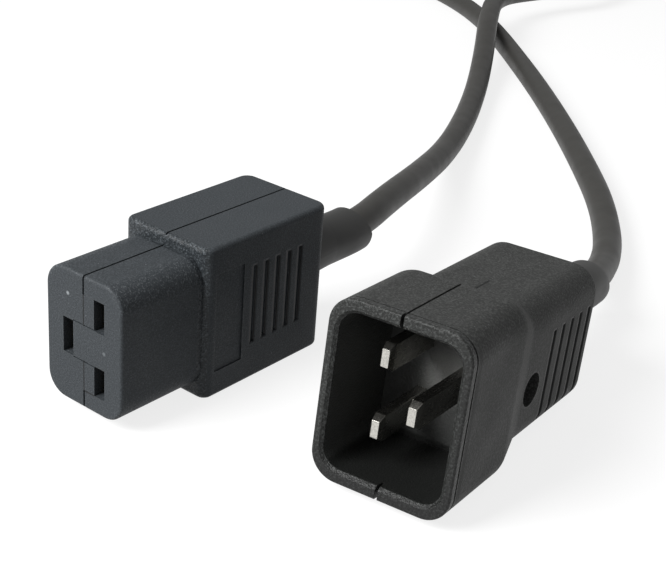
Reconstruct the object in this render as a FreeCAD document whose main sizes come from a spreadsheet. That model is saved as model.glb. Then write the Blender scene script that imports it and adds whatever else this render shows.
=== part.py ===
import FreeCAD, Part
import math
import os
import re

import Sketcher

from FreeCAD import Placement, Rotation, Vector

# A power cord set for data centre racks: a 16 A C19 connector, its cord, and the C20 plug on
# the far end. Millimetres, +Z up. The C19 connector lies flat, its mating face towards -Y, and
# the origin is the middle of the connector's footprint. Each connector is drawn in its own
# frame first: y = 0 on its front face and growing towards the cord, x and z from its axis.

MITRED = 1    # how a sweep turns a corner

doc = FreeCAD.newDocument("c19_cord_set")
sheet = doc.addObject("Spreadsheet::Sheet", "Sizes")

SIZES = {
    # contact pattern, the same in both connectors
    "row_offset": 4.0,          # line and neutral on one side of the axis, earth on the other
    "pitch": 13.0,              # line to neutral
    "pin_width": 5.0,
    "pin_thickness": 2.0,
    "barrel_radius": 1.65,
    "core_radius": 1.2,
    "core_spread": 1.5,         # from the cord's axis to each core, inside the jacket
    "core_bend": 1.0,           # inside the wiring room, where each core turns inwards
    "earth_rise": 1.15,         # earth core above the axis, clear of the screw
    # cord
    "cord_radius": 3.4,
    # screws that hold the shells together
    "screw_radius": 1.45,
    "screw_clearance": 1.7,
    "screw_drop": 2.4,          # below the axis
    "screw_seat": 6.4,          # from the mid-plane to the underside of the head
    "screw_reach": 7.0,         # from the mid-plane to the tip
    "screw_head_radius": 2.8,
    "screw_head_height": 1.8,
    "screw_well_radius": 3.2,
    # grip of both connectors
    "groove_depth": 0.6,
    "parting_width": 0.4,
    "parting_depth": 0.4,
    "face_line": 0.25,          # the same line where it crosses the mating face
    "channel": 3.0,
    "yoke_thickness": 3.0,
    "flange_radius": 6.9,
    "flange_thickness": 3.0,
    "neck_radius": 5.6,
    "collar_radius": 5.8,
    "collar_end_radius": 5.2,
    "relief_slant": 25.0,       # degrees by which the soft end's lip leans back at the top
    # C19 connector
    "nose_width": 19.4,
    "nose_height": 26.2,
    "nose_corner": 4.5,
    "nose_edge": 0.6,
    "nose_length": 19.4,
    "block_width": 21.7,
    "block_height": 30.6,
    "block_length": 33.6,
    "block_front_edge": 2.0,
    "block_rear_edge": 2.6,
    "block_edge": 1.0,
    "slot_width": 2.6,
    "slot_height": 6.0,
    "earth_slot_height": 7.0,
    "slot_wall": 2.0,
    "contact_room_width": 3.6,
    "contact_room_height": 6.9,
    "contact_room_end": 23.0,
    "contact_start": 2.6,
    "contact_end": 18.0,
    "contact_height": 5.2,
    "contact_sheet": 0.45,
    "contact_barrel": 4.0,
    "c19_screw_y": 27.5,
    "c19_room_start": 31.5,
    "c19_room_end": 46.0,
    "room_width": 15.0,
    "room_height": 19.0,
    "c19_jacket_start": 43.0,
    "c19_collar": 11.0,
    "c19_groove_width": 0.9,
    "c19_groove_start": 32.0,
    "c19_groove_pitch": 3.2,
    "c19_groove_height": 16.0,
    "c19_groove_rise": 0.8,
    "panel_start": 21.9,
    "panel_end": 29.2,
    "panel_height": 20.0,
    "panel_depth": 0.25,
    # C20 plug
    "shroud_width": 26.4,
    "shroud_height": 33.2,
    "shroud_corner": 5.0,
    "shroud_length": 20.4,
    "mouth_width": 22.6,
    "mouth_height": 28.4,
    "mouth_corner": 3.7,
    "mouth_depth": 20.0,
    "mouth_lead": 0.6,
    "rim_band": 1.4,
    "rim_groove": 0.45,
    "rim_edge": 0.4,
    "rim_slit": 0.75,
    "rim_slit_length": 2.4,
    "shoulder_end": 26.6,
    "shoulder_rounding": 6.0,
    "grip_width": 24.0,
    "grip_height": 27.6,
    "grip_corner": 5.2,
    "grip_end": 56.2,
    "grip_edge": 1.2,
    "heel_length": 7.5,
    "heel_height": 3.5,
    "line_pin_tip": 4.0,
    "earth_pin_tip": 0.4,
    "pin_tip_taper": 0.75,
    "pin_stop": 24.5,           # rear face of the wall that carries the pins
    "pin_stop_height": 6.4,
    "pin_stop_length": 1.2,
    "pin_barrel": 3.0,
    "tail_room": 3.7,
    "c20_screw_y": 30.5,
    "c20_room_start": 34.5,
    "c20_room_end": 48.0,
    "c20_jacket_start": 45.0,
    "c20_collar": 14.0,
    "c20_groove_width": 1.0,
    "c20_groove_start": 37.0,
    "c20_groove_pitch": 4.0,
    "c20_groove_height": 18.6,
    "c20_groove_drop": 2.2,
    "groove_count": 5,
    # coil of the spare cord, two turns wide and two high
    "coil_turn_radius": 38.4,   # centre line of the outer turns
    "coil_width": 14.0,
    "coil_edge": 2.4,
}

for row, (alias, number) in enumerate(SIZES.items(), start=1):
    sheet.set("A%d" % row, alias)
    sheet.set("B%d" % row, str(number))
    sheet.setAlias("B%d" % row, alias)
doc.recompute()


def linked(formula):
    """A formula of aliases, as an expression that reads the sheet."""
    return re.sub(r"[a-z][a-z0-9_]*", lambda word: "Sizes." + word.group(0), formula)


def size(formula):
    """A formula's value now."""
    return float(sheet.evalExpression(linked(formula)))


# ---------------------------------------------------------------- sketches and features


def new_body(name):
    body = doc.addObject("PartDesign::Body", name)
    body.Label = name
    return body


def new_sketch(body, name, role, offset="0"):
    """An empty sketch on one of the body's origin planes, moved along the plane's normal."""
    sketch = body.newObject("Sketcher::SketchObject", name)
    plane = next(item for item in body.Origin.OriginFeatures if item.Role == role)
    sketch.AttachmentSupport = (plane, [""])
    sketch.MapMode = "FlatFace"
    sketch.setExpression("AttachmentOffset.Base.z", linked(offset))
    return sketch


def across(body, name, y="0"):
    """A sketch across the connector at a distance y behind its front face."""
    return new_sketch(body, name, "XZ_Plane", "-(%s)" % y)


def pin_point(sketch, element, point, x, z):
    """Hold one point of a sketch element at two formulas."""
    for kind, formula in (("DistanceX", x), ("DistanceY", z)):
        number = sketch.addConstraint(Sketcher.Constraint(kind, -1, 1, element, point, size(formula)))
        sketch.setExpression("Constraints[%d]" % number, linked(formula))


def polygon(sketch, corners):
    """A closed outline of straight lines through corners given as pairs of formulas."""
    places = [Vector(size(x), size(z), 0) for x, z in corners]
    first = sketch.GeometryCount
    count = len(places)
    for i in range(count):
        sketch.addGeometry(Part.LineSegment(places[i], places[(i + 1) % count]), False)
    for i in range(count):
        following = first + (i + 1) % count
        sketch.addConstraint(Sketcher.Constraint("Coincident", first + i, 2, following, 1))
        pin_point(sketch, first + i, 1, *corners[i])
    return sketch


def rectangle(sketch, width, height, x="0", z="0"):
    left, right = "%s - (%s) / 2" % (x, width), "%s + (%s) / 2" % (x, width)
    low, high = "%s - (%s) / 2" % (z, height), "%s + (%s) / 2" % (z, height)
    return polygon(sketch, [(left, low), (right, low), (right, high), (left, high)])


def circle(sketch, radius, x="0", z="0"):
    place = Vector(size(x), size(z), 0)
    ring = sketch.addGeometry(Part.Circle(place, Vector(0, 0, 1), size(radius)), False)
    pin_point(sketch, ring, 3, x, z)
    number = sketch.addConstraint(Sketcher.Constraint("Radius", ring, size(radius)))
    sketch.setExpression("Constraints[%d]" % number, linked(radius))
    return sketch


def rounded_rectangle(sketch, width, height, corner):
    """A centred rectangle whose four corners are quarter circles."""
    half_x, half_z = "(%s) / 2" % width, "(%s) / 2" % height
    near_x, near_z = "%s - (%s)" % (half_x, corner), "%s - (%s)" % (half_z, corner)
    across_x, up_z, radius = size(near_x), size(near_z), size(corner)
    signs = [(1, -1), (1, 1), (-1, 1), (-1, -1)]
    first = sketch.GeometryCount
    for turn, (sx, sz) in enumerate(signs):
        centre = Vector(sx * across_x, sz * up_z, 0)
        start = math.pi / 2 * (turn - 1)
        ring = Part.Circle(centre, Vector(0, 0, 1), radius)
        sketch.addGeometry(Part.ArcOfCircle(ring, start, start + math.pi / 2), False)
    for turn in range(4):
        end = sketch.getPoint(first + turn, 2)
        begin = sketch.getPoint(first + (turn + 1) % 4, 1)
        sketch.addGeometry(Part.LineSegment(end, begin), False)
    for turn, (sx, sz) in enumerate(signs):
        arc, line, following = first + turn, first + 4 + turn, first + (turn + 1) % 4
        sketch.addConstraint(Sketcher.Constraint("Tangent", arc, 2, line, 1))
        sketch.addConstraint(Sketcher.Constraint("Tangent", line, 2, following, 1))
        pin_point(sketch, arc, 3, "%d * (%s)" % (sx, near_x), "%d * (%s)" % (sz, near_z))
    number = sketch.addConstraint(Sketcher.Constraint("Radius", first, radius))
    sketch.setExpression("Constraints[%d]" % number, linked(corner))
    return sketch


def pad(body, name, sketch, length, backwards=True):
    """Extrude a sketch; one drawn across the connector grows towards the cord."""
    feature = body.newObject("PartDesign::Pad", name)
    feature.Profile = sketch
    feature.Reversed = backwards
    feature.setExpression("Length", linked(length))
    return feature


def pocket(body, name, sketch, depth, backwards=False, both_ways=False):
    """Cut a sketch; one drawn across the connector cuts towards the cord."""
    feature = body.newObject("PartDesign::Pocket", name)
    feature.Profile = sketch
    feature.Reversed = backwards
    feature.Midplane = both_ways
    feature.setExpression("Length", linked(depth))
    return feature


def dress(body, kind, name, chosen):
    """A feature on the edges of the body so far that a test picks."""
    doc.recompute()
    base = body.Tip
    edges = ["Edge%d" % (i + 1) for i, edge in enumerate(base.Shape.Edges) if chosen(edge)]
    feature = body.newObject(kind, name)
    feature.Base = (base, edges)
    return feature


def fillet(body, name, radius, chosen):
    dress(body, "PartDesign::Fillet", name, chosen).setExpression("Radius", linked(radius))


def chamfer(body, name, width, chosen):
    dress(body, "PartDesign::Chamfer", name, chosen).setExpression("Size", linked(width))


def row_of_grooves(body, name, side, width, height, start, rise, pitch):
    """Vertical finger grooves in one side of a grip, repeated towards the cord."""
    sign = "1" if side > 0 else "-1"
    half = "block_width / 2" if name.startswith("c19") else "grip_width / 2"
    sketch = new_sketch(body, name + "_outline", "YZ_Plane", "%s * %s" % (sign, half))
    rectangle(sketch, width, height, start, rise)
    first = pocket(body, name, sketch, "groove_depth", backwards=side < 0)
    pattern = body.newObject("PartDesign::LinearPattern", name + "_row")
    pattern.Originals = [first]
    pattern.Direction = (sketch, ["H_Axis"])
    pattern.setExpression("Length", linked("(groove_count - 1) * %s" % pitch))
    pattern.setExpression("Occurrences", linked("groove_count"))
    body.Tip = pattern
    return pattern


def upright(edge):
    box = edge.BoundBox
    return box.ZLength > 1 and box.XLength < 0.01 and box.YLength < 0.01


def level(edge, y):
    """True for an edge that lies wholly at one distance y."""
    box = edge.BoundBox
    return abs(box.YMin - y) < 0.01 and abs(box.YMax - y) < 0.01


# ---------------------------------------------------------------- shared small parts


def make_sleeve(name, y_start, y_wall, collar):
    """Strain relief: a flange and neck held in the shells, and a tapered collar outside them."""
    body = new_body(name)
    profile = new_sketch(body, name + "_profile", "XY_Plane")
    polygon(profile, sleeve_outline(y_start, y_wall, collar, "cord_radius"))
    turned = body.newObject("PartDesign::Revolution", name + "_turned")
    turned.Profile = profile
    turned.ReferenceAxis = (profile, ["V_Axis"])
    turned.Angle = 360
    return body


def sleeve_outline(y_start, y_wall, collar, bore):
    flange_end = "%s + flange_thickness" % y_start
    end = "%s + %s" % (y_wall, collar)
    return [(bore, y_start), ("flange_radius", y_start), ("flange_radius", flange_end),
            ("neck_radius", flange_end), ("neck_radius", y_wall), ("collar_radius", y_wall),
            ("collar_end_radius", end), (bore, end)]


def cut_sleeve_seat(body, name, y_start, y_wall):
    """The stepped hole in a housing's rear wall that the strain relief fills."""
    profile = new_sketch(body, name + "_profile", "XY_Plane")
    flange_end = "%s + flange_thickness" % y_start
    out = "%s + 1" % y_wall
    polygon(profile, [("0", "%s - 0.5" % y_start), ("flange_radius", "%s - 0.5" % y_start),
                      ("flange_radius", flange_end), ("neck_radius", flange_end),
                      ("neck_radius", out), ("0", out)])
    groove = body.newObject("PartDesign::Groove", name)
    groove.Profile = profile
    groove.ReferenceAxis = (profile, ["V_Axis"])
    groove.Angle = 360
    return groove


def make_yoke(name, y_end):
    """Cord clamp: a plate that fills the wiring room and straddles the jacket."""
    body = new_body(name)
    plate = across(body, name + "_plate", "%s - yoke_thickness" % y_end)
    rectangle(plate, "room_width", "room_height")
    pad(body, name + "_pad", plate, "yoke_thickness")
    slot = across(body, name + "_slot", "%s - yoke_thickness" % y_end)
    rectangle(slot, "room_width", "2 * cord_radius", "room_width / 2")
    pocket(body, name + "_open", slot, "yoke_thickness")
    seat = across(body, name + "_seat", "%s - yoke_thickness" % y_end)
    circle(seat, "cord_radius")
    pocket(body, name + "_bore", seat, "yoke_thickness")
    return body


def make_screw(name, side, y):
    """Pan-head screw along X; side is the side its head is on."""
    body = new_body(name)
    sign = "1" if side > 0 else "-1"
    shank = new_sketch(body, name + "_shank", "YZ_Plane", "%s * screw_seat" % sign)
    circle(shank, "screw_radius", y, "-screw_drop")
    pad(body, name + "_thread", shank, "screw_seat + screw_reach", backwards=side > 0)
    head = new_sketch(body, name + "_head", "YZ_Plane", "%s * screw_seat" % sign)
    circle(head, "screw_head_radius", y, "-screw_drop")
    pad(body, name + "_pan", head, "screw_head_height", backwards=side < 0)
    cross = new_sketch(body, name + "_cross", "YZ_Plane",
                       "%s * (screw_seat + screw_head_height)" % sign)
    arm, reach = "screw_head_radius / 4", "1.3 * screw_head_radius"
    rectangle(cross, arm, reach, y, "-screw_drop")
    pocket(body, name + "_recess", cross, "screw_head_height / 2", backwards=side < 0)
    bar = new_sketch(body, name + "_bar", "YZ_Plane",
                     "%s * (screw_seat + screw_head_height)" % sign)
    rectangle(bar, reach, arm, y, "-screw_drop")
    pocket(body, name + "_recess_bar", bar, "screw_head_height / 2", backwards=side < 0)
    return body


def cut_screw_holes(body, name, side, y, outside):
    """Well for the head, clearance hole to the mid-plane and thread hole beyond it."""
    sign = "1" if side > 0 else "-1"
    steps = [("well", "%s * (%s)" % (sign, outside), "screw_well_radius",
              "%s - screw_seat" % outside),
             ("clearance", "%s * screw_seat" % sign, "screw_clearance", "screw_seat"),
             ("thread", "0", "screw_radius", "screw_reach")]
    for step, offset, radius, depth in steps:
        sketch = new_sketch(body, "%s_%s_outline" % (name, step), "YZ_Plane", offset)
        circle(sketch, radius, y, "-screw_drop")
        pocket(body, "%s_%s" % (name, step), sketch, depth, backwards=side < 0)


def curve_points(points):
    """Straight runs joined by tangent arcs, as wide as the two runs at each point allow."""
    edges, radii, here = [], [], points[0]
    for before, corner, after in zip(points, points[1:], points[2:]):
        back, ahead = (before - corner), (after - corner)
        run = min(back.Length, ahead.Length)
        half_turn = (math.pi - back.getAngle(ahead)) / 2
        reach = 0.45 * run
        radii.append(reach / math.tan(half_turn))
        back.normalize()
        ahead.normalize()
        start, end = corner + back * reach, corner + ahead * reach
        inward = back + ahead
        inward.normalize()
        middle = corner + inward * (radii[-1] / math.cos(half_turn) - radii[-1])
        edges.append(Part.LineSegment(here, start).toShape())
        edges.append(Part.Arc(start, middle, end).toShape())
        here = end
    edges.append(Part.LineSegment(here, points[-1]).toShape())
    return Part.Wire(edges), radii


def make_tube(name, points, radius):
    """A round cord along a route; its volume is set against section times length."""
    route, radii = curve_points(points)
    start = Part.Circle(points[0], points[1] - points[0], radius).toShape()
    tube = route.makePipeShell([Part.Wire(start)], True, False)
    expected = math.pi * radius ** 2 * route.Length
    print("%s: length %.1f, smallest radius %.1f, volume ratio %.4f"
          % (name, route.Length, min(radii), tube.Volume / expected))
    feature = doc.addObject("Part::Feature", name)
    feature.Label = name
    feature.Shape = tube
    return feature


# ---------------------------------------------------------------- C19 connector

half_pitch = "pitch / 2"
CONTACTS = {                      # x, z, slot height, core's z
    "line": ("row_offset", half_pitch, "slot_height", half_pitch),
    "neutral": ("row_offset", "-%s" % half_pitch, "slot_height", "-%s" % half_pitch),
    "earth": ("-row_offset", "0", "earth_slot_height", "earth_rise"),
}


def make_c19_housing():
    """The whole moulding, before it is parted into its two shells."""
    body = new_body("c19_housing")
    block_end = "nose_length + block_length"

    block = across(body, "block_outline", "nose_length")
    rectangle(block, "block_width", "block_height")
    pad(body, "block", block, "block_length")
    front, rear = size("nose_length"), size(block_end)
    fillet(body, "block_front_corners", "block_front_edge", lambda e: upright(e) and level(e, front))
    fillet(body, "block_rear_corners", "block_rear_edge", lambda e: upright(e) and level(e, rear))
    top = size("block_height / 2")
    fillet(body, "block_rims", "block_edge", lambda e: abs(abs(e.BoundBox.ZMin) - top) < 0.01
           and e.BoundBox.ZLength < 0.01)

    nose = across(body, "nose_outline")
    rounded_rectangle(nose, "nose_width", "nose_height", "nose_corner")
    pad(body, "nose", nose, "nose_length + 2 * block_front_edge")
    fillet(body, "nose_rim", "nose_edge", lambda e: level(e, 0.0))

    for pole, (x, z, height, core_z) in CONTACTS.items():
        slot = across(body, "%s_slot_outline" % pole)
        rectangle(slot, "slot_width", height, x, z)
        pocket(body, "%s_slot" % pole, slot, "slot_wall")
        room = across(body, "%s_room_outline" % pole, "slot_wall")
        rectangle(room, "contact_room_width", "contact_room_height", x, z)
        pocket(body, "%s_room" % pole, room, "contact_room_end - slot_wall")
        channel = across(body, "%s_channel_outline" % pole, "contact_room_end")
        rectangle(channel, "channel", "channel", x, core_z)
        pocket(body, "%s_channel" % pole, channel, "c19_room_start - contact_room_end")

    room = across(body, "c19_room_outline", "c19_room_start")
    rectangle(room, "room_width", "room_height")
    pocket(body, "c19_room", room, "c19_room_end - c19_room_start")
    cut_sleeve_seat(body, "c19_sleeve_seat", "c19_room_end", block_end)
    cut_screw_holes(body, "c19_screw", -1, "c19_screw_y", "block_width / 2 + 1")

    for side in (1, -1):
        row_of_grooves(body, "c19_grooves_%s" % ("right" if side > 0 else "left"), side,
                       "c19_groove_width", "c19_groove_height", "c19_groove_start",
                       "c19_groove_rise", "c19_groove_pitch")
    panel = new_sketch(body, "panel_outline", "YZ_Plane", "block_width / 2")
    rectangle(panel, "panel_end - panel_start", "panel_height", "(panel_start + panel_end) / 2")
    pocket(body, "panel", panel, "panel_depth")
    cut_parting_lines(body, "nose", "nose_height / 2", "0", "nose_length")
    cut_parting_lines(body, "block", "block_height / 2", "nose_length", block_end)
    for end in (1, -1):
        face = across(body, "face_line_outline_%s" % ("top" if end > 0 else "bottom"))
        high, low = "nose_height / 2 + 1", "pitch / 2 + slot_height / 2"
        rectangle(face, "parting_width", "%s - (%s)" % (high, low), "0",
                  "%d * (%s + %s) / 2" % (end, high, low))
        pocket(body, "face_line_%s" % ("top" if end > 0 else "bottom"), face, "parting_depth")
        side = "upper" if end > 0 else "lower"
        level_line = across(body, "face_line_outline_%s" % side)
        rectangle(level_line, "2 * row_offset - slot_width", "face_line", "0",
                  "%d * (pitch - slot_height + face_line) / 2" % end)
        pocket(body, "face_line_%s" % side, level_line, "face_line")
    return body


def cut_parting_lines(body, name, half_height, y_start, y_end):
    """The fine groove where the two shells meet, along the top and the underside."""
    for end, place in ((1, "top"), (-1, "bottom")):
        line = new_sketch(body, "%s_%s_line_outline" % (name, place), "XY_Plane",
                          "%d * (%s)" % (end, half_height))
        rectangle(line, "parting_width", "%s - (%s)" % (y_end, y_start), "0",
                  "(%s + %s) / 2" % (y_start, y_end))
        pocket(body, "%s_%s_line" % (name, place), line, "parting_depth", backwards=end < 0)


def make_c19_parting():
    """Everything right of the parting line, which winds through the three slots."""
    body = new_body("c19_parting")
    slot_x = "row_offset - slot_width / 2"
    slot_top, slot_low = "(pitch + slot_height) / 2", "(pitch - slot_height) / 2"
    earth = "earth_slot_height / 2"
    far_x, far_z = "block_width", "block_height"
    upper = [("0", far_z), ("0", slot_top), (slot_x, slot_top), (slot_x, slot_low),
             ("-(%s)" % slot_x, earth)]
    lower = [(x, "-(%s)" % z) for x, z in reversed(upper)]
    winding = across(body, "winding_outline", "-1")
    polygon(winding, [(far_x, far_z)] + upper + lower + [(far_x, "-" + far_z)])
    pad(body, "winding", winding, "contact_room_end + 1")
    plain = across(body, "plain_outline", "contact_room_end")
    rectangle(plain, far_x, "2 * " + far_z, "block_width / 2")
    pad(body, "plain", plain, "nose_length + block_length")
    return body


def make_contact(pole):
    """Folded female contact: two sprung leaves, a closed back and a crimped barrel."""
    x, z, height, core_z = CONTACTS[pole]
    name = "c19_contact_" + pole
    body = new_body(name)
    outside = "contact_room_width / 2 - 0.05"
    stations = [("contact_start", outside),
                ("contact_start + 4.5", "pin_thickness / 2 - 0.05 + contact_sheet"),
                ("contact_start + 9", outside),
                ("contact_end", outside)]
    inner = [(y, "%s - contact_sheet" % half) for y, half in stations[:3]]
    inner.append(("contact_end - contact_sheet", "%s - contact_sheet" % outside))
    outline = [("%s + %s" % (x, half), y) for y, half in stations]
    outline += [("%s - (%s)" % (x, half), y) for y, half in reversed(stations)]
    outline += [("%s - (%s)" % (x, half), y) for y, half in inner]
    outline += [("%s + %s" % (x, half), y) for y, half in reversed(inner)]
    leaves = new_sketch(body, name + "_leaves", "XY_Plane", "%s - contact_height / 2" % z)
    polygon(leaves, outline)
    pad(body, name + "_strip", leaves, "contact_height", backwards=False)
    barrel = across(body, name + "_barrel", "contact_end")
    circle(barrel, "barrel_radius", x, core_z)
    circle(barrel, "core_radius", x, core_z)
    pad(body, name + "_crimp", barrel, "contact_barrel")
    return body


# ---------------------------------------------------------------- C20 plug

# The plug faces the other way, so line and neutral are on its other side.
PINS = {                          # x, z, tip, core's z
    "line": ("-row_offset", half_pitch, "line_pin_tip", half_pitch),
    "neutral": ("-row_offset", "-%s" % half_pitch, "line_pin_tip", "-%s" % half_pitch),
    "earth": ("row_offset", "0", "earth_pin_tip", "earth_rise"),
}


def make_c20_housing():
    """Shroud, shoulder and grip in one moulding, before it is parted."""
    body = new_body("c20_housing")
    shroud = across(body, "shroud_outline")
    rounded_rectangle(shroud, "shroud_width", "shroud_height", "shroud_corner")
    pad(body, "shroud", shroud, "shroud_length")
    wide = across(body, "shoulder_front", "shroud_length")
    rounded_rectangle(wide, "shroud_width", "shroud_height", "shroud_corner")
    narrow = across(body, "shoulder_rear", "shoulder_end")
    rounded_rectangle(narrow, "grip_width", "grip_height", "grip_corner")
    shoulder = body.newObject("PartDesign::AdditiveLoft", "shoulder")
    shoulder.Profile = wide
    shoulder.Sections = [narrow]
    shoulder.Ruled = True
    grip = across(body, "grip_outline", "shoulder_end")
    rounded_rectangle(grip, "grip_width", "grip_height", "grip_corner")
    pad(body, "grip", grip, "grip_end - shoulder_end")
    rear = size("grip_end")
    fillet(body, "grip_rear_rim", "grip_edge", lambda e: level(e, rear))
    brow, foot = size("shroud_length"), size("shoulder_end")
    fillet(body, "shoulder_brow", "shoulder_rounding", lambda e: level(e, brow))
    fillet(body, "shoulder_foot", "shoulder_rounding", lambda e: level(e, foot))
    heel = new_sketch(body, "heel_outline", "YZ_Plane")
    low = "-grip_height / 2"
    polygon(heel, [("grip_end - heel_length", "%s - 1" % low), ("grip_end - heel_length", low),
                   ("grip_end", "%s + heel_height" % low), ("grip_end + 1", "%s + heel_height" % low),
                   ("grip_end + 1", "%s - 1" % low)])
    pocket(body, "heel", heel, "2 * grip_width", both_ways=True)
    fillet(body, "rim_rounding", "rim_edge", lambda e: level(e, 0.0))

    mouth = across(body, "mouth_outline")
    rounded_rectangle(mouth, "mouth_width", "mouth_height", "mouth_corner")
    pocket(body, "mouth", mouth, "mouth_depth")
    inside = size("mouth_height / 2")
    chamfer(body, "mouth_lead_in", "mouth_lead", lambda e: level(e, 0.0)
            and abs(e.BoundBox.ZMin) < inside + 0.01 and abs(e.BoundBox.ZMax) < inside + 0.01)
    band = across(body, "band_outline", "rim_band")
    rounded_rectangle(band, "shroud_width + 2", "shroud_height + 2", "shroud_corner + 1")
    rounded_rectangle(band, "shroud_width - 2 * rim_groove", "shroud_height - 2 * rim_groove",
                      "shroud_corner - rim_groove")
    pocket(body, "band", band, "rim_groove")

    for pole, (x, z, tip, core_z) in PINS.items():
        hole = across(body, "%s_pin_hole_outline" % pole, "mouth_depth")
        rectangle(hole, "pin_thickness", "pin_width", x, z)
        pocket(body, "%s_pin_hole" % pole, hole, "pin_stop - mouth_depth")
        tail = across(body, "%s_tail_outline" % pole, "pin_stop")
        rectangle(tail, "2 * barrel_radius", "pin_stop_height", x, z)
        pocket(body, "%s_tail" % pole, tail, "tail_room + 0.5")
        channel = across(body, "%s_lead_outline" % pole, "pin_stop")
        rectangle(channel, "channel", "channel", x, core_z)
        pocket(body, "%s_lead" % pole, channel, "c20_room_start - pin_stop")

    room = across(body, "c20_room_outline", "c20_room_start")
    rectangle(room, "room_width", "room_height")
    pocket(body, "c20_room", room, "c20_room_end - c20_room_start")
    cut_sleeve_seat(body, "c20_sleeve_seat", "c20_room_end", "grip_end")
    cut_screw_holes(body, "c20_screw", 1, "c20_screw_y", "shroud_width / 2")
    for side in (1, -1):
        row_of_grooves(body, "c20_grooves_%s" % ("right" if side > 0 else "left"), side,
                       "c20_groove_width", "c20_groove_height", "c20_groove_start",
                       "-c20_groove_drop", "c20_groove_pitch")
    cut_parting_lines(body, "shroud", "shroud_height / 2", "0", "shroud_length")
    slit = new_sketch(body, "rim_slit_outline", "XY_Plane")
    polygon(slit, [("-rim_slit / 2", "-1"), ("rim_slit / 2", "-1"),
                   ("rim_slit / 4", "rim_slit_length"), ("-rim_slit / 4", "rim_slit_length")])
    pocket(body, "rim_slits", slit, "2 * shroud_height", both_ways=True)
    return body


def make_c20_parting():
    """Everything right of the plug's mid-plane."""
    tool = doc.addObject("Part::Box", "c20_parting")
    tool.setExpression("Length", linked("shroud_width"))
    tool.setExpression("Width", linked("grip_end + 4"))
    tool.setExpression("Height", linked("2 * shroud_height"))
    tool.setExpression("Placement.Base.y", linked("-2"))
    tool.setExpression("Placement.Base.z", linked("-shroud_height"))
    return tool


def make_pin(pole):
    """Flat blade with a tapered tip, a stop behind its wall and a crimped barrel."""
    x, z, tip, core_z = PINS[pole]
    name = "c20_pin_" + pole
    body = new_body(name)
    blade = across(body, name + "_blade", tip)
    rectangle(blade, "pin_thickness", "pin_width", x, z)
    pad(body, name + "_pad", blade, "pin_stop - %s" % tip)
    tip_y = size(tip)
    chamfer(body, name + "_tip", "pin_tip_taper", lambda e: level(e, tip_y)
            and e.BoundBox.ZLength < 0.01)
    stop = across(body, name + "_stop", "pin_stop")
    rectangle(stop, "pin_thickness", "pin_stop_height", x, z)
    pad(body, name + "_shoulder", stop, "pin_stop_length")
    barrel = across(body, name + "_barrel", "pin_stop + pin_stop_length")
    circle(barrel, "barrel_radius", x, core_z)
    circle(barrel, "core_radius", x, core_z)
    pad(body, name + "_crimp", barrel, "pin_barrel")
    return body


# ---------------------------------------------------------------- shells and cores


def part_housing(housing, tool, left, right):
    """Split a housing along a parting tool into its left and right shells."""
    shells = []
    for kind, name in (("Part::Cut", left), ("Part::Common", right)):
        shell = doc.addObject(kind, name)
        shell.Label = name
        shell.Base = housing
        shell.Tool = tool
        shells.append(shell)
    return shells


def make_core(name, x, z, start, straight_end, jacket_start, turn):
    """One insulated core, kinked where it leaves its barrel's line and where it joins the rest."""
    spread = size("core_spread")
    join_x, join_z = spread * math.cos(turn), spread * math.sin(turn)
    route = Part.makePolygon([Vector(x, start, z), Vector(x, straight_end, z),
                              Vector(join_x, jacket_start - 2, join_z),
                              Vector(join_x, jacket_start, join_z)])
    section = Part.Circle(route.Vertexes[0].Point, Vector(0, 1, 0), size("core_radius"))
    core = doc.addObject("Part::Feature", name)
    core.Label = name
    core.Shape = route.makePipeShell([Part.Wire(section.toShape())], True, False, MITRED)
    return core


def make_jacket_end(name, start, end):
    """The end of the cord's jacket, gripped by the clamp and the strain relief."""
    body = new_body(name)
    outline = across(body, name + "_outline", start)
    circle(outline, "cord_radius")
    pad(body, name + "_pad", outline, "%s - %s" % (end, start))
    return body


def build_c19():
    shells = part_housing(make_c19_housing(), make_c19_parting(),
                          "c19_shell_left", "c19_shell_right")
    contacts = [make_contact(pole) for pole in CONTACTS]
    block_end = "nose_length + block_length"
    fittings = [make_sleeve("c19_cord_sleeve", "c19_room_end", block_end, "c19_collar"),
                make_yoke("c19_cord_clamp", "c19_room_end"),
                make_screw("c19_screw", -1, "c19_screw_y")]
    cores = [make_core("c19_core_" + pole, size(x), size(core_z), size("contact_end"),
                       size("c19_room_start + core_bend"), size("c19_jacket_start"), turn)
             for (pole, (x, z, height, core_z)), turn
             in zip(CONTACTS.items(), (math.pi / 3, -math.pi / 3, math.pi))]
    jacket = make_jacket_end("c19_jacket_end", "c19_jacket_start", block_end + " + c19_collar")
    return shells + contacts + fittings + cores + [jacket]


def build_c20():
    shells = part_housing(make_c20_housing(), make_c20_parting(),
                          "c20_shell_left", "c20_shell_right")
    pins = [make_pin(pole) for pole in PINS]
    fittings = [make_sleeve("c20_cord_sleeve", "c20_room_end", "grip_end", "c20_collar"),
                make_yoke("c20_cord_clamp", "c20_room_end"),
                make_screw("c20_screw", 1, "c20_screw_y")]
    cores = [make_core("c20_core_" + pole, size(x), size(core_z),
                       size("pin_stop + pin_stop_length"), size("c20_room_start + core_bend"),
                       size("c20_jacket_start"), turn)
             for (pole, (x, z, tip, core_z)), turn
             in zip(PINS.items(), (2 * math.pi / 3, -2 * math.pi / 3, 0.0))]
    jacket = make_jacket_end("c20_jacket_end", "c20_jacket_start", "grip_end + c20_collar")
    return shells + pins + fittings + cores + [jacket]


c19_parts = build_c19()
c20_parts = build_c20()
doc.recompute()

# ---------------------------------------------------------------- where the two ends lie

c19_front = -size("nose_length + block_length + c19_collar") / 2
c19_place = Placement(Vector(0, c19_front, size("block_height / 2")), Rotation())


def laid(x, y, z):
    """A point of the layout, its y measured from the C19's mating face."""
    return Vector(x, y + c19_front, z)


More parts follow.
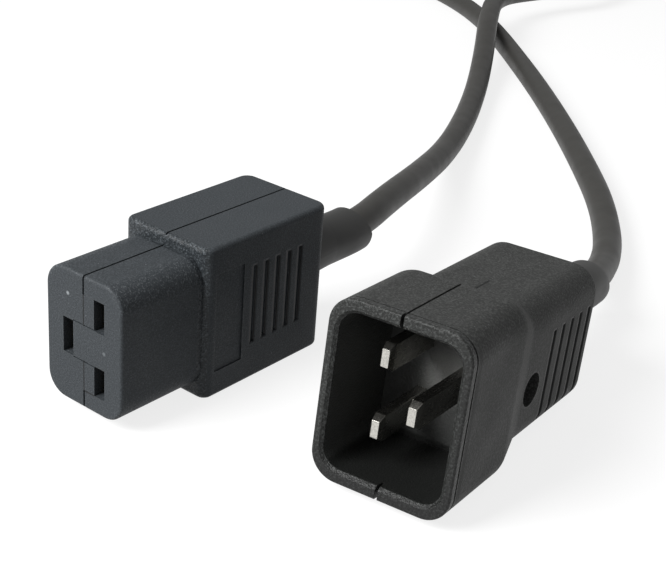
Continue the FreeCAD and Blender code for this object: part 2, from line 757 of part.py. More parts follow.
# The plug rests on the rear lower edge of its shroud and on the front edge of its heel.
PLUG_HEEL = laid(52, 34.9, 0)
PLUG_TURN = 6.9
PLUG_DROOP = -math.degrees(math.atan(size("(shroud_height - grip_height) / 2")
                                     / size("grip_end - heel_length - shroud_length")))
c20_place = (Placement(PLUG_HEEL, Rotation(Vector(0, 0, 1), PLUG_TURN))
             * Placement(Vector(), Rotation(Vector(1, 0, 0), PLUG_DROOP))
             * Placement(Vector(0, -size("shroud_length"), size("shroud_height / 2")), Rotation()))

for part in c19_parts:
    part.Placement = c19_place
for part in c20_parts:
    part.Placement = c20_place

# ---------------------------------------------------------------- cord

# Both leads lie on the surface behind the connectors. The C19's lead crosses over the C20's,
# and both run into the coil of spare cord, one turn apart in height.
COIL_MIDDLE = laid(-162, 374, 0)
COIL_AHEAD = Vector(-0.72, 0.694, 0)
COIL_AHEAD.normalize()
COIL_ASIDE = Vector(COIL_AHEAD.y, -COIL_AHEAD.x, 0)
COIL_STUB = 24
LOW_TURN, HIGH_TURN = 3.6, 10.4


def beside_coil(side, height, run):
    """A point on the straight line in which a lead runs into the coil."""
    return (COIL_MIDDLE + COIL_ASIDE * (side * size("coil_turn_radius"))
            - COIL_AHEAD * (COIL_STUB + run) + Vector(0, 0, height))


def out_of(place, end, run):
    """Points on a connector's axis: the end of its strain relief, and one further out."""
    return [place.multVec(Vector(0, size(end) + far, 0)) for far in (0, run)]


C19_LEAD = out_of(c19_place, "nose_length + block_length + c19_collar", 12) + [
    laid(-6.5, 97, 14.4), laid(-16.5, 123.5, 10.2), laid(-29.5, 154, 5),
    laid(-43.5, 184, 3.4), laid(-59, 213.5, 3.4), laid(-74, 239.5, 7.2),
    laid(-89, 263.5, 11), laid(-104, 291, 11), laid(-102.5, 317.5, 9.8),
    laid(-94, 342.5, 9.6), beside_coil(1, HIGH_TURN, 27), beside_coil(1, HIGH_TURN, 0),
]
C20_LEAD = out_of(c20_place, "grip_end + c20_collar", 12) + [
    laid(39.4, 116, 5.6), laid(31.5, 135, 3.4), laid(17, 157.5, 3.4),
    laid(-2, 180.5, 3.4), laid(-24, 205.5, 3.4), laid(-48, 231, 3.4),
    laid(-70.5, 253.5, 3.4), laid(-89, 271.5, 3.4), laid(-108, 288, 3.4),
    laid(-130, 302.5, 3.4), beside_coil(-1, LOW_TURN, 25), beside_coil(-1, LOW_TURN, 0),
]


def make_soft_end(name, points, length):
    """The soft end of a strain relief, which bends with the first of its lead."""
    route, radii = curve_points(points)
    straight, bend = route.Edges[:2]
    share = (length - straight.Length) / bend.Length
    first, last = bend.FirstParameter, bend.LastParameter
    bend = Part.Edge(bend.Curve, first, first + share * (last - first))
    spine = Part.Wire([straight, bend])
    outer, inner = [spine.makePipeShell([Part.Wire(Part.Circle(
        points[0], points[1] - points[0], radius).toShape())], True, False)
        for radius in (size("collar_end_radius"), size("cord_radius"))]
    lean = Rotation(Vector(1, 0, 0), size("relief_slant"))
    end, ahead = bend.valueAt(bend.LastParameter), bend.tangentAt(bend.LastParameter)
    beyond = Part.makeBox(40, 20, 40, Vector(-20, 0, -20))
    beyond.Placement = Placement(end, Rotation(Vector(0, 1, 0), ahead) * lean)
    feature = doc.addObject("Part::Feature", name)
    feature.Label = name
    feature.Shape = outer.cut(inner).cut(beyond)
    return feature


def make_coil(name, ends):
    """The coil's outer form, with the two short ends of cord that leave it."""
    width = size("coil_width")
    outside = size("coil_turn_radius + cord_radius + 0.2")
    section = Part.makePlane(width, width, Vector(outside - width, 0, 0), Vector(0, -1, 0),
                             Vector(1, 0, 0))
    turned = section.revolve(Vector(), Vector(0, 0, 1), 360)
    ring = doc.addObject("Part::Feature", name + "_ring")
    ring.Shape = turned.makeChamfer(size("coil_edge"), turned.Edges)
    ring.Placement = Placement(COIL_MIDDLE, Rotation())
    stubs = []
    for end in ends:
        stub = doc.addObject("Part::Cylinder", name + "_stub")
        stub.setExpression("Radius", linked("cord_radius"))
        stub.Height = COIL_STUB
        stub.Placement = Placement(end, Rotation(Vector(0, 0, 1), COIL_AHEAD))
        stubs.append(stub)
    coil = doc.addObject("Part::MultiFuse", name)
    coil.Label = name
    coil.Shapes = [ring] + stubs
    return coil


cord_parts = [
    make_soft_end("c19_relief_end", C19_LEAD, 11.5),
    make_soft_end("c20_relief_end", C20_LEAD, 16),
    make_tube("cord_lead_c19", C19_LEAD, size("cord_radius")),
    make_tube("cord_lead_c20", C20_LEAD, size("cord_radius")),
    make_coil("cord_coil", (C19_LEAD[-1], C20_LEAD[-1])),
]
doc.recompute()

# ---------------------------------------------------------------- checks and export

for item in doc.Objects:
    if "Invalid" in item.State or "Error" in item.State:
        raise RuntimeError("%s failed: %s" % (item.Name, item.State))

os.makedirs("parts", exist_ok=True)
for part in c19_parts + c20_parts + cord_parts:
    shape = part.Shape
    if shape.isNull() or not shape.isValid() or len(shape.Solids) != 1:
        raise RuntimeError("%s isn't one valid solid" % part.Label)
    shape.exportStep("parts/%s.step" % part.Label)
    box = shape.BoundBox
    print("%-18s %9.1f mm3  x %.1f..%.1f  y %.1f..%.1f  z %.2f..%.2f"
          % (part.Label, shape.Volume, box.XMin, box.XMax, box.YMin, box.YMax, box.ZMin, box.ZMax))
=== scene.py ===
import math

import bmesh
import bpy
from mathutils import Matrix, Vector


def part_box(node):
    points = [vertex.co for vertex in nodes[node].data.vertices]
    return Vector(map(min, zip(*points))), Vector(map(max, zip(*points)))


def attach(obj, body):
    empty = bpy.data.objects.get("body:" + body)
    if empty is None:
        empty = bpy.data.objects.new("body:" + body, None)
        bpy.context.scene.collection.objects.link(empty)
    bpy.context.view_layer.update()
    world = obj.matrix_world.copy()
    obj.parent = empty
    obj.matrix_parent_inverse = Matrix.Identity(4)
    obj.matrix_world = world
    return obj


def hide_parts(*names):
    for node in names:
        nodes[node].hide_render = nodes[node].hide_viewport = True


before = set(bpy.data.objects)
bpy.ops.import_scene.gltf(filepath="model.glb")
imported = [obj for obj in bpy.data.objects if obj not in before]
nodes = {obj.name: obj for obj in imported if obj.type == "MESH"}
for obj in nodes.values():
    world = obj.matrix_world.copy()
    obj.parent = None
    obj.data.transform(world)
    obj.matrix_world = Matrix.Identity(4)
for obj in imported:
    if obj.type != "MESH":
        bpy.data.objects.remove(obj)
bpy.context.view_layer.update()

# ---------------------------------------------------------------- C19 housing shells
# Two halves of black PVC compound, moulded in spark-eroded steel and screwed together. The
# steel leaves a fine, dull grain. Round the front edges of the block it is coarser, darker and
# glossier, with painted glints, and along the nose's edges painted sparkle lies in its colour.

MM = 0.001
C19_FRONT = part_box("c19_shell_left")[0].y
C19_AXIS_HIGH = 15.3
C19_NOSE_LONG = 19.4
C19_HALF_WIDE = 10.85
C19_LIP = 1.3           # how far the coarse grain reaches round the block's front edge
GROOVE_DEEP = 0.6
GRAIN_DEEP = 0.25
GLOSSY_ROUGH = 0.42     # round the front edges and at the corners
DUST = "#74767a"        # pale specks, here and there
ALL_ROUND = 30          # more than half the width or height of either connector
c19_place = Matrix.Translation((0, C19_FRONT, C19_AXIS_HIGH * MM))


def linear(hex_colour):
    """An sRGB hex colour as linear RGBA."""
    parts = [int(hex_colour[i:i + 2], 16) / 255 for i in (1, 3, 5)]
    return tuple(c / 12.92 if c <= 0.04045 else ((c + 0.055) / 1.055) ** 2.4
                 for c in parts) + (1,)


def add(tree, kind, inputs=None, **settings):
    """A node with its settings; each input is a number, a colour, a socket or a node, whose
    first result in use is taken."""
    node = tree.nodes.new(kind)
    for name, value in settings.items():
        setattr(node, name, value)
    for name, value in (inputs or {}).items():
        if isinstance(value, bpy.types.Node):
            value = next(result for result in value.outputs if result.enabled)
        if isinstance(value, bpy.types.NodeSocket):
            tree.links.new(value, node.inputs[name])
        else:
            node.inputs[name].default_value = value
    return node


def new_material(name):
    """An empty node material; returns it, its tree and the Object coordinates in metres."""
    material = bpy.data.materials.new(name)
    material.use_nodes = True
    material.node_tree.nodes.clear()
    tree = material.node_tree
    return material, tree, add(tree, "ShaderNodeTexCoord").outputs["Object"]


def fade(tree, value, start, full):
    """A mask: 0 up to start, 1 from full on, and a smooth step between them."""
    return add(tree, "ShaderNodeMapRange", {"Value": value, "From Min": start, "From Max": full},
               interpolation_type="SMOOTHSTEP")


def within(tree, own, centre, half, soft=0.05):
    """A mask of a box in the connector's frame, in millimetres, with soft edges."""
    away = add(tree, "ShaderNodeVectorMath", {0: own, 1: centre}, operation="SUBTRACT")
    away = add(tree, "ShaderNodeVectorMath", {0: away}, operation="ABSOLUTE")
    away = add(tree, "ShaderNodeVectorMath", {0: away, 1: half}, operation="SUBTRACT")
    x, y, z = add(tree, "ShaderNodeSeparateXYZ", {"Vector": away}).outputs
    most = add(tree, "ShaderNodeMath", {0: x, 1: y}, operation="MAXIMUM")
    most = add(tree, "ShaderNodeMath", {0: most, 1: z}, operation="MAXIMUM")
    return fade(tree, most, soft, -soft)


def overlap(tree, *masks):
    """A mask that is 1 where all the masks are 1."""
    shared = masks[0]
    for mask in masks[1:]:
        shared = add(tree, "ShaderNodeMath", {0: shared, 1: mask}, operation="MULTIPLY")
    return shared


def lay_over(tree, shader, name, value, *masks):
    """Put a value or a colour over what feeds an input of a shader, where all masks are 1."""
    socket = shader.inputs[name]
    below = socket.links[0].from_socket if socket.is_linked else socket.default_value
    mix = add(tree, "ShaderNodeMix", {"Factor": overlap(tree, *masks), "A": below, "B": value},
              data_type="RGBA" if socket.type == "RGBA" else "FLOAT")
    tree.links.new(mix.outputs["Result"], socket)


def moulded_pvc(name, place, grain, coarse_at, coarse_reach, colour, speck, worn, painted_glint):
    """Spark-eroded PVC, and places in the connector's own frame, in millimetres. The grain is
    0.2 mm, drawn a little coarser so that it shows. Within coarse_reach of the plane coarse_at
    it is coarse, with glints painted into its colour as pale specks. Corners are glossier, but
    not those along the seam."""
    material, tree, metres = new_material(name)
    own = add(tree, "ShaderNodeMapping",
              {"Vector": metres, "Location": place.to_translation(),
               "Rotation": place.to_euler(), "Scale": (MM, MM, MM)},
              vector_type="TEXTURE").outputs["Vector"]
    across, along, up = add(tree, "ShaderNodeSeparateXYZ", {"Vector": own}).outputs
    beside = add(tree, "ShaderNodeMath", {0: across}, operation="ABSOLUTE")
    rim = within(tree, own, (0, coarse_at, 0), (ALL_ROUND, 0.8 * coarse_reach, ALL_ROUND),
                 0.2 * coarse_reach)
    rounded = add(tree, "ShaderNodeBevel", {"Radius": 0.5 * MM}, samples=4)
    flat = add(tree, "ShaderNodeNewGeometry").outputs["True Normal"]
    alike = add(tree, "ShaderNodeVectorMath", {0: rounded, 1: flat}, operation="DOT_PRODUCT")

    fine, coarse, cloud = (
        add(tree, "ShaderNodeTexNoise",
            {"Vector": own, "Scale": 1 / size, "Detail": 2, "Roughness": rough})
        for size, rough in ((grain, 0.6), (0.45, 0.6), (14, 0.5)))
    height = add(tree, "ShaderNodeMix", {"Factor": rim, "A": fine, "B": coarse})
    strength = add(tree, "ShaderNodeMapRange", {"Value": rim, "To Min": 0.5, "To Max": 1.0})
    bump = add(tree, "ShaderNodeBump",
               {"Height": height, "Strength": strength, "Distance": GRAIN_DEEP * MM})
    gloss = add(tree, "ShaderNodeMapRange", {"Value": cloud, "From Min": 0.3, "From Max": 0.7,
                                             "To Min": 0.56, "To Max": 0.66})
    shader = add(tree, "ShaderNodeBsdfPrincipled",
                 {"Base Color": linear(colour), "Roughness": gloss, "Normal": bump,
                  "IOR": 1.5, "Specular IOR Level": 0.25})
    lay_over(tree, shader, "Base Color", linear(speck), fade(tree, fine, 0.4, 0.75))
    lay_over(tree, shader, "Base Color", linear(worn), rim)
    lay_over(tree, shader, "Base Color", linear(DUST), fade(tree, coarse, 0.7, 0.78))
    # Painted glints: pale specks laid into the colour of the coarse rim.
    lay_over(tree, shader, "Base Color", linear(painted_glint), rim, fade(tree, coarse, 0.45, 0.7))
    lay_over(tree, shader, "Roughness", GLOSSY_ROUGH, rim)
    lay_over(tree, shader, "Roughness", GLOSSY_ROUGH, fade(tree, alike, 0.999, 0.96),
             fade(tree, beside, 0.6, 0.9))
    add(tree, "ShaderNodeOutputMaterial", {"Surface": shader})
    return material, tree, shader, {"own": own, "across": across, "along": along, "up": up,
                                    "beside": beside}


def round_and_shade_grooves(tree, shader, at, first, pitch, middle, high, half_wide):
    """Round the edges of the five finger grooves in both sides of a connector, and paint shade
    along them. The first one lies at first along it, and middle is how high the middle of each
    one lies."""
    beyond = add(tree, "ShaderNodeMath", {0: at["along"], 1: first}, operation="SUBTRACT")
    off_groove = add(tree, "ShaderNodeMath", {0: beyond, 1: pitch / 2}, operation="PINGPONG")
    grooves = overlap(
        tree, fade(tree, off_groove, 1.0, 0.4),
        fade(tree, at["beside"], half_wide - 0.4, half_wide - 0.1),
        within(tree, at["own"], (0, first + 2 * pitch, middle),
               (ALL_ROUND, 2.5 * pitch + 0.05, high / 2 + 0.05), 0.35))
    normal = shader.inputs["Normal"]
    bump = add(tree, "ShaderNodeBump", {"Height": grooves, "Distance": 0.35 * MM,
                                        "Normal": normal.links[0].from_socket}, invert=True)
    tree.links.new(bump.outputs["Normal"], normal)
    # Painted shade: a dark band along the edges of the grooves.
    lay_over(tree, shader, "Base Color", linear("#141515"), grooves)


def dress(names, material):
    """Give CAD nodes a finish of their own."""
    for name in names:
        nodes[name].data.materials.clear()
        nodes[name].data.materials.append(material)


shell_pvc, tree, shader, at = moulded_pvc(
    "spark_eroded_pvc", c19_place, grain=0.3, coarse_at=C19_NOSE_LONG, coarse_reach=C19_LIP,
    colour="#2e3235", speck="#43474b", worn="#23272a", painted_glint="#4a4f53")
# Sparkle is painted along the nose's long edges, as paler specks in their colour, from where
# width and height from its axis add up to 17.6 mm.
above = add(tree, "ShaderNodeMath", {0: at["up"]}, operation="ABSOLUTE")
off_axis = add(tree, "ShaderNodeMath", {0: at["beside"], 1: above}, operation="ADD")
painted_sparkle = add(tree, "ShaderNodeTexNoise", {"Vector": at["own"], "Scale": 1 / 0.35, "Detail": 1})
lay_over(tree, shader, "Base Color", linear("#53575a"), fade(tree, off_axis, 17.6, 19.6),
         fade(tree, at["along"], C19_NOSE_LONG, C19_NOSE_LONG - 1),
         fade(tree, painted_sparkle, 0.56, 0.68))
# The floors of the finger grooves are painted paler, as painted light in their shade, and their
# edges are soft, with painted shade along them.
lay_over(tree, shader, "Base Color", linear("#565a5e"),
         within(tree, at["own"], (0, 38.5, 0), (C19_HALF_WIDE - GROOVE_DEEP + 0.1, 8, 9)))
round_and_shade_grooves(tree, shader, at, first=32, pitch=3.2, middle=0.8, high=16,
              half_wide=C19_HALF_WIDE)
# On the mating face the joint of the two halves is a hairline beside the slots, and two small
# round spots are paler, one more than the other.
for centre, half in (((0, 0.2, 8.4), (0.13, 0.5, 5)), ((0, 0.2, -8.4), (0.13, 0.5, 5)),
                     ((1.35, 0.2, -9.5), (1.35, 0.5, 0.13))):
    lay_over(tree, shader, "Base Color", linear("#050505"),
             within(tree, at["own"], centre, half))
for centre, shade in (((-4, 0, 8.4), "#85898c"), ((5.2, 0, -0.1), "#5c6063")):
    off_mark = add(tree, "ShaderNodeVectorMath", {0: at["own"], 1: centre}, operation="DISTANCE")
    lay_over(tree, shader, "Base Color", linear(shade), fade(tree, off_mark, 0.5, 0.15))
dress(["c19_shell_left", "c19_shell_right"], shell_pvc)

# ---------------------------------------------------------------- C19 contacts
# Folded brass strip, bright from the press, deep in the three slots. Each is closed round a
# stripped core at its back.


def strip_metal(name, colour, streaked, rough):
    """Rolled strip: bright, with duller streaks 0.3 mm apart that run along the part."""
    material, tree, metres = new_material(name)
    drawn = add(tree, "ShaderNodeMapping", {"Vector": metres, "Scale": (1, 0.06, 1)})
    streak = add(tree, "ShaderNodeTexNoise",
                 {"Vector": drawn, "Scale": 1 / (0.3 * MM), "Detail": 2})
    gloss = add(tree, "ShaderNodeMapRange", {"Value": streak, "From Min": 0.3, "From Max": 0.7,
                                             "To Min": rough, "To Max": rough + 0.06})
    bump = add(tree, "ShaderNodeBump",
               {"Height": streak, "Strength": 0.03, "Distance": 0.02 * MM})
    shader = add(tree, "ShaderNodeBsdfPrincipled",
                 {"Base Color": linear(colour), "Metallic": 1.0, "Roughness": gloss,
                  "Normal": bump})
    lay_over(tree, shader, "Base Color", linear(streaked), fade(tree, streak, 0.4, 0.65))
    add(tree, "ShaderNodeOutputMaterial", {"Surface": shader})
    return material


dress(["c19_contact_" + pole for pole in ("line", "neutral", "earth")],
      strip_metal("pressed_brass", "#c9a765", "#b3925a", 0.25))

# ---------------------------------------------------------------- cores, clamps and screws
# Inside both housings: three insulated cores from the barrels to the jacket, a nylon clamp
# that straddles the jacket, and one zinc-plated screw from side to side.


def plain_plastic(name, colour, rough):
    """Extruded or moulded plastic with a faint waviness, 6 mm from crest to crest."""
    material, tree, metres = new_material(name)
    wave = add(tree, "ShaderNodeTexNoise", {"Vector": metres, "Scale": 1 / (6 * MM), "Detail": 3})
    gloss = add(tree, "ShaderNodeMapRange", {"Value": wave, "From Min": 0.3, "From Max": 0.7,
                                             "To Min": rough - 0.04, "To Max": rough + 0.05})
    bump = add(tree, "ShaderNodeBump", {"Height": wave, "Strength": 0.1, "Distance": 0.05 * MM})
    shader = add(tree, "ShaderNodeBsdfPrincipled", {"Base Color": linear(colour), "IOR": 1.5,
                                                    "Roughness": gloss, "Normal": bump})
    add(tree, "ShaderNodeOutputMaterial", {"Surface": shader})
    return material


for pole, colour, slot in (("line", "#5a3422", "core_brown"), ("neutral", "#2f5f9e", "core_blue"),
                           ("earth", "#5f8f34", "core_green")):
    dress(["%s_core_%s" % (end, pole) for end in ("c19", "c20")],
          plain_plastic("insulation_" + pole, colour, 0.4))
dress(["c19_cord_clamp", "c20_cord_clamp"],
      plain_plastic("clamp_nylon", "#2c2c2c", 0.5))
dress(["c19_screw", "c20_screw"],
      strip_metal("zinc_plate", "#9fa1a3", "#8c8e90", 0.38))

# ---------------------------------------------------------------- C20 housing shells
# The plug's shroud and grip are moulded like the C19, from the same compound. The plug rests
# on its shroud's rear lower edge and leans back, so its own frame is turned and tilted.

PLUG_TURN, PLUG_DROOP = math.radians(6.9), -math.atan(2.8 / 28.3)
SHROUD_LONG, SHROUD_HALF_HIGH = 20.4, 16.6
MOUTH_DEEP = 20
GRIP_HALF_WIDE = 12


def laid(x, y, z):
    """A point of the layout in millimetres, its y measured from the C19's mating face."""
    return Vector((x * MM, y * MM + C19_FRONT, z * MM))


c20_place = (Matrix.Translation(laid(52, 34.9, 0)) @ Matrix.Rotation(PLUG_TURN, 4, "Z")
             @ Matrix.Rotation(PLUG_DROOP, 4, "X")
             @ Matrix.Translation((0, -SHROUD_LONG * MM, SHROUD_HALF_HIGH * MM)))
plug_pvc, tree, shader, at = moulded_pvc(
    "spark_eroded_pvc_plug", c20_place, grain=0.38, coarse_at=0, coarse_reach=2.2,
    colour="#282928", speck="#484948", worn="#212221", painted_glint="#434544")
# Inside the mouth the walls are smooth and near black. The lower one is drawn darkest, since
# little light gets to it, and a soft, pale pool of painted light lies on the end wall above the
# earth pin.
mouth = within(tree, at["own"], (0, 11, 0), (11.6, 10.2, 14.5), 0.1)
lay_over(tree, shader, "Base Color", linear("#3c3d3c"), mouth)
lay_over(tree, shader, "Base Color", linear("#1a1b1a"), mouth,
         fade(tree, at["up"], -12.5, -13.6))
off_painted_light = add(tree, "ShaderNodeVectorMath", {0: at["own"], 1: (0.8, MOUTH_DEEP, -0.5)},
                operation="DISTANCE")
lay_over(tree, shader, "Base Color", linear("#8f908e"), fade(tree, off_painted_light, 6.5, 1))
lay_over(tree, shader, "Roughness", 0.4, mouth)
# The face of the rim is drawn darker low down and on its right, where less light falls.
for dark in (fade(tree, at["up"], 0, -27), fade(tree, at["across"], 9, 17)):
    lay_over(tree, shader, "Base Color", linear("#0f0f0f"),
             fade(tree, at["along"], 0.8, 0.2), dark)
# The joint of the halves runs on over the shoulder as a hairline. The sides of the grip are
# painted darker round the finger grooves, as painted shade, and the grooves' edges are soft,
# with painted shade along them.
lay_over(tree, shader, "Base Color", linear("#050505"),
         within(tree, at["own"], (-0.3, 26.5, 15), (0.2, 6.5, 3)))
lay_over(tree, shader, "Base Color", linear("#242524"),
         within(tree, at["own"], (0, 46, -2.2), (ALL_ROUND, 11, 10.5), 1),
         fade(tree, at["beside"], GRIP_HALF_WIDE - 1, GRIP_HALF_WIDE - 0.2))
round_and_shade_grooves(tree, shader, at, first=37, pitch=4, middle=-2.2, high=18.6,
              half_wide=GRIP_HALF_WIDE)
# Behind the rim the sides step in a little, which leaves a soft shade along both of them.
lay_over(tree, shader, "Base Color", linear("#161716"),
         within(tree, at["own"], (0, 2.9, 0), (ALL_ROUND, 0.55, ALL_ROUND), 0.35),
         fade(tree, at["beside"], 12.4, 13))
dress(["c20_shell_left", "c20_shell_right"], plug_pvc)

# ---------------------------------------------------------------- C20 pins
# Flat brass blades, 2 by 5 mm, nickel plated, with long tapers above and below the tip. Each
# has a stop behind the wall that carries it and a crimped barrel at its back.

PITCH, PIN_ASIDE = 13.0, 4.0
POWER_TIP, EARTH_TIP = 4.0, 0.4
BLADE_THICK, BLADE_HIGH, BLADE_BACK = 2.0, 5.0, 24.5
TIP_TAPER, TIP_HIGH, TIP_THICK = 1.6, 3.1, 1.5
STOP_LONG, STOP_HIGH = 1.2, 6.4
BARREL_LONG, BARREL_OUT, CORE_OUT = 3.0, 1.65, 1.2
EARTH_CORE_UP = 1.15

# The narrow ends of the blades are bright. Their sides mirror the black mouth, and are drawn
# duller to help that.
nickel_plate = strip_metal("nickel_plate", "#c6c4be", "#b2b0aa", 0.22)
tree = nickel_plate.node_tree
flat = add(tree, "ShaderNodeNewGeometry").outputs["True Normal"]
ahead = add(tree, "ShaderNodeVectorMath", {0: flat, 1: c20_place.to_3x3() @ Vector((0, -1, 0))},
            operation="DOT_PRODUCT")
lay_over(tree, tree.nodes["Principled BSDF"], "Base Color", linear("#a8a6a0"),
         fade(tree, ahead, 0.9, 0.5))


def block(bm, x, z, front, back, thick, high):
    """A block of the pin between two depths."""
    place = (Matrix.Translation((x * MM, (front + back) / 2 * MM, z * MM))
             @ Matrix.Diagonal((thick * MM, (back - front) * MM, high * MM, 1)))
    bmesh.ops.create_cube(bm, size=1, matrix=place)


for pole, x, z, tip, core_z in (
        ("line", -PIN_ASIDE, PITCH / 2, POWER_TIP, PITCH / 2),
        ("neutral", -PIN_ASIDE, -PITCH / 2, POWER_TIP, -PITCH / 2),
        ("earth", PIN_ASIDE, 0, EARTH_TIP, EARTH_CORE_UP)):
    bm = bmesh.new()
    block(bm, x, z, tip + TIP_TAPER, BLADE_BACK, BLADE_THICK, BLADE_HIGH)
    front = min(bm.faces, key=lambda face: face.calc_center_median().y)
    end = bmesh.ops.extrude_discrete_faces(bm, faces=[front])["faces"][0]
    bmesh.ops.translate(bm, verts=end.verts, vec=(0, -TIP_TAPER * MM, 0))
    bmesh.ops.scale(bm, verts=end.verts, vec=(TIP_THICK / BLADE_THICK, 1, TIP_HIGH / BLADE_HIGH),
                    space=Matrix.Translation((-x * MM, 0, -z * MM)))
    bmesh.ops.bevel(bm, geom=list(bm.edges), offset=0.15 * MM, segments=2, affect="EDGES",
                    profile=0.5, material=-1)
    block(bm, x, z, BLADE_BACK, BLADE_BACK + STOP_LONG, BLADE_THICK, STOP_HIGH)
    barrel_middle = BLADE_BACK + STOP_LONG + BARREL_LONG / 2
    barrel = (Matrix.Translation((x * MM, barrel_middle * MM, core_z * MM))
              @ Matrix.Rotation(math.pi / 2, 4, "X"))
    tube = bmesh.ops.create_cone(bm, cap_ends=False, segments=24, radius1=BARREL_OUT * MM,
                                 radius2=BARREL_OUT * MM, depth=BARREL_LONG * MM, matrix=barrel)
    wall = list({face for vert in tube["verts"] for face in vert.link_faces})
    bmesh.ops.solidify(bm, geom=wall, thickness=(BARREL_OUT - CORE_OUT) * MM)
    bmesh.ops.transform(bm, matrix=c20_place, verts=bm.verts)
    mesh = bpy.data.meshes.new("pin_" + pole)
    bm.to_mesh(mesh)
    bm.free()
    pin = bpy.data.objects.new("pin_" + pole, mesh)
    bpy.context.collection.objects.link(pin)
    mesh.materials.append(nickel_plate)
    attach(pin, "root")
    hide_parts("c20_pin_" + pole)

# ---------------------------------------------------------------- cord and strain reliefs
# 3-core cord in a satin black PVC jacket, 6.8 mm thick. Both ends leave their housing through
# a moulded collar. The spare length lies in a round coil behind, two turns wide and two high.

CORD_RADIUS = 3.4 * MM
dress(["c19_cord_sleeve", "c20_cord_sleeve", "c19_relief_end", "c20_relief_end"],
      plain_plastic("strain_relief_pvc", "#2d2d2c", 0.52))
jacket_pvc = plain_plastic("jacket_pvc", "#2c2b28", 0.5)
dress(["c19_jacket_end", "c20_jacket_end"], jacket_pvc)

C19_SLEEVE_END, C20_SLEEVE_END, STRAIGHT_RUN = 64, 70.2, 12
COIL_MIDDLE = laid(-162, 374, 0)
COIL_AHEAD = Vector((-0.72, 0.694, 0)).normalized()
COIL_ASIDE = Vector((COIL_AHEAD.y, -COIL_AHEAD.x, 0))
OUTER_TURN, INNER_TURN = 38.4 * MM, 31.6 * MM
LOW_TURN, HIGH_TURN = 3.6 * MM, 10.4 * MM
COIL_STUB = 24 * MM
COIL_TURNS = 3.5
POINTS_IN_A_TURN = 16


def beside_coil(side, height, run):
    """A point on the straight way into the coil, run metres before its stub."""
    return (COIL_MIDDLE + COIL_ASIDE * (side * OUTER_TURN) - COIL_AHEAD * (COIL_STUB + run)
            + Vector((0, 0, height)))


def out_of(place, end):
    """The cord's first two points, straight out of a sleeve that ends that far back."""
    return [place @ Vector((0, back * MM, 0)) for back in (end, end + STRAIGHT_RUN)]


c19_lead = out_of(c19_place, C19_SLEEVE_END) + [
    laid(-6.5, 97, 14.4), laid(-16.5, 123.5, 10.2), laid(-29.5, 154, 5),
    laid(-43.5, 184, 3.4), laid(-59, 213.5, 3.4), laid(-74, 239.5, 7.2),
    laid(-89, 263.5, 11), laid(-104, 291, 11), laid(-102.5, 317.5, 9.8),
    laid(-94, 342.5, 9.6), beside_coil(1, HIGH_TURN, 27 * MM), beside_coil(1, HIGH_TURN, 0)]
c20_lead = out_of(c20_place, C20_SLEEVE_END) + [
    laid(39.4, 116, 5.6), laid(31.5, 135, 3.4), laid(17, 157.5, 3.4),
    laid(-2, 180.5, 3.4), laid(-24, 205.5, 3.4), laid(-48, 231, 3.4),
    laid(-70.5, 253.5, 3.4), laid(-89, 271.5, 3.4), laid(-108, 288, 3.4),
    laid(-130, 302.5, 3.4), beside_coil(-1, LOW_TURN, 25 * MM), beside_coil(-1, LOW_TURN, 0)]


def ease(turns, start, end):
    """0 before start, 1 after end, with a soft step between."""
    share = min(1, max(0, (turns - start) / (end - start)))
    return share * share * (3 - 2 * share)


def coil_points():
    """One turn round the outside on top, one inside it, down, and back out."""
    wider = 1 / math.cos(math.pi / POINTS_IN_A_TURN)
    steps = round(COIL_TURNS * POINTS_IN_A_TURN)
    for step in range(steps + 1):
        turns = step / POINTS_IN_A_TURN
        inwards = ease(turns, 0.8, 1.0) - ease(turns, 2.5, 2.7)
        radius = (OUTER_TURN + (INNER_TURN - OUTER_TURN) * inwards) * wider
        height = HIGH_TURN + (LOW_TURN - HIGH_TURN) * ease(turns, 1.75, 2.0)
        angle = 2 * math.pi * turns
        yield (COIL_MIDDLE + COIL_ASIDE * (radius * math.cos(angle))
               + COIL_AHEAD * (radius * math.sin(angle)) + Vector((0, 0, height)))


cord_curve = bpy.data.curves.new("power_cord", "CURVE")
cord_curve.dimensions = "3D"
cord_curve.bevel_depth = CORD_RADIUS
cord_curve.bevel_resolution = 8
cord_curve.resolution_u = 8
cord_curve.use_fill_caps = True
line = cord_curve.splines.new("NURBS")
route = c19_lead + list(coil_points()) + c20_lead[::-1]
line.points.add(len(route) - 1)
for control, point in zip(line.points, route):
    control.co = (*point, 1)
line.order_u = 3
line.use_endpoint_u = True
power_cord = bpy.data.objects.new("power_cord", cord_curve)
bpy.context.collection.objects.link(power_cord)
power_cord.data.materials.append(jacket_pvc)
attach(power_cord, "root")
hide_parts("cord_lead_c19", "cord_lead_c20", "cord_coil")

# ---------------------------------------------------------------- table, light and camera
# A white table that runs into a white room, a large soft light high on the left, and a view
# from in front of the two ends and a little above them.


def is_any(tree, *kinds):
    """1 on light paths of any of these kinds."""
    path = add(tree, "ShaderNodeLightPath").outputs
    found = path[kinds[0]]
    for kind in kinds[1:]:
        found = add(tree, "ShaderNodeMath", {0: found, 1: path[kind]}, operation="MAXIMUM")
    return found


table_mesh = bmesh.new()
bmesh.ops.create_grid(table_mesh, x_segments=1, y_segments=1, size=8)
table_data = bpy.data.meshes.new("table_top")
table_mesh.to_mesh(table_data)
table_mesh.free()
table_top = bpy.data.objects.new("table_top", table_data)
bpy.context.collection.objects.link(table_top)
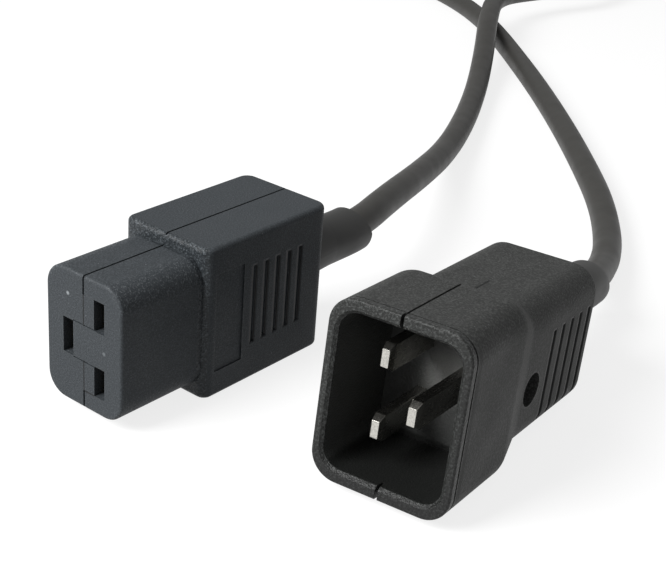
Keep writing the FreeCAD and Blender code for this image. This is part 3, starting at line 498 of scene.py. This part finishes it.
# Matt white paint. It glows where the eye or a reflection sees it, and lights nothing itself.
white_paint, tree, _ = new_material("white_paint")
matt = add(tree, "ShaderNodeBsdfDiffuse", {"Color": linear("#868686")})
seen = is_any(tree, "Is Camera Ray", "Is Glossy Ray", "Is Transmission Ray")
glow = add(tree, "ShaderNodeMath", {0: seen, 1: 0.8}, operation="MULTIPLY")
white = add(tree, "ShaderNodeEmission", {"Color": linear("#ffffff"), "Strength": glow})
both = add(tree, "ShaderNodeAddShader", {0: matt, 1: white})
add(tree, "ShaderNodeOutputMaterial", {"Surface": both})
table_top.data.materials.append(white_paint)

# The room is white to the eye, a third as bright in reflections, and a dim fill otherwise.
world = bpy.data.worlds.new("white_room")
bpy.context.scene.world = world
world.use_nodes = True
tree = world.node_tree
tree.nodes.clear()
seen = is_any(tree, "Is Camera Ray", "Is Transmission Ray")
mirrored = add(tree, "ShaderNodeMath", {0: is_any(tree, "Is Glossy Ray"), 1: 0.3},
               operation="MULTIPLY")
bright = add(tree, "ShaderNodeMath", {0: seen, 1: mirrored}, operation="MAXIMUM")
level = add(tree, "ShaderNodeMapRange", {"Value": bright, "To Min": 0.3, "To Max": 1.0})
room = add(tree, "ShaderNodeBackground", {"Color": linear("#ffffff"), "Strength": level})
add(tree, "ShaderNodeOutputWorld", {"Surface": room})

softbox = bpy.data.lights.new("key_softbox", "AREA")
softbox.size = 0.4
softbox.energy = 11
lamp = bpy.data.objects.new("key_softbox", softbox)
lamp.location = (-0.22, -0.58, 0.52)
lamp.rotation_euler = (Vector((0.02, 0, 0.02)) - lamp.location).to_track_quat("-Z", "Y").to_euler()
bpy.context.collection.objects.link(lamp)

AZIMUTH, ELEVATION, ROLL = 0.6526, 0.448, 0.0789
camera_data = bpy.data.cameras.new("camera")
camera_data.sensor_width = 36
camera_data.lens = 73.96
camera_data.clip_start = 0.01
camera = bpy.data.objects.new("camera", camera_data)
bpy.context.collection.objects.link(camera)
camera.matrix_world = (Matrix.Translation(laid(160.79, -140.31, 131.65))
                       @ Matrix.Rotation(AZIMUTH, 4, "Z")
                       @ Matrix.Rotation(math.pi / 2 - ELEVATION, 4, "X")
                       @ Matrix.Rotation(ROLL, 4, "Z"))
bpy.context.scene.camera = camera
bpy.context.scene.view_settings.view_transform = "Standard"
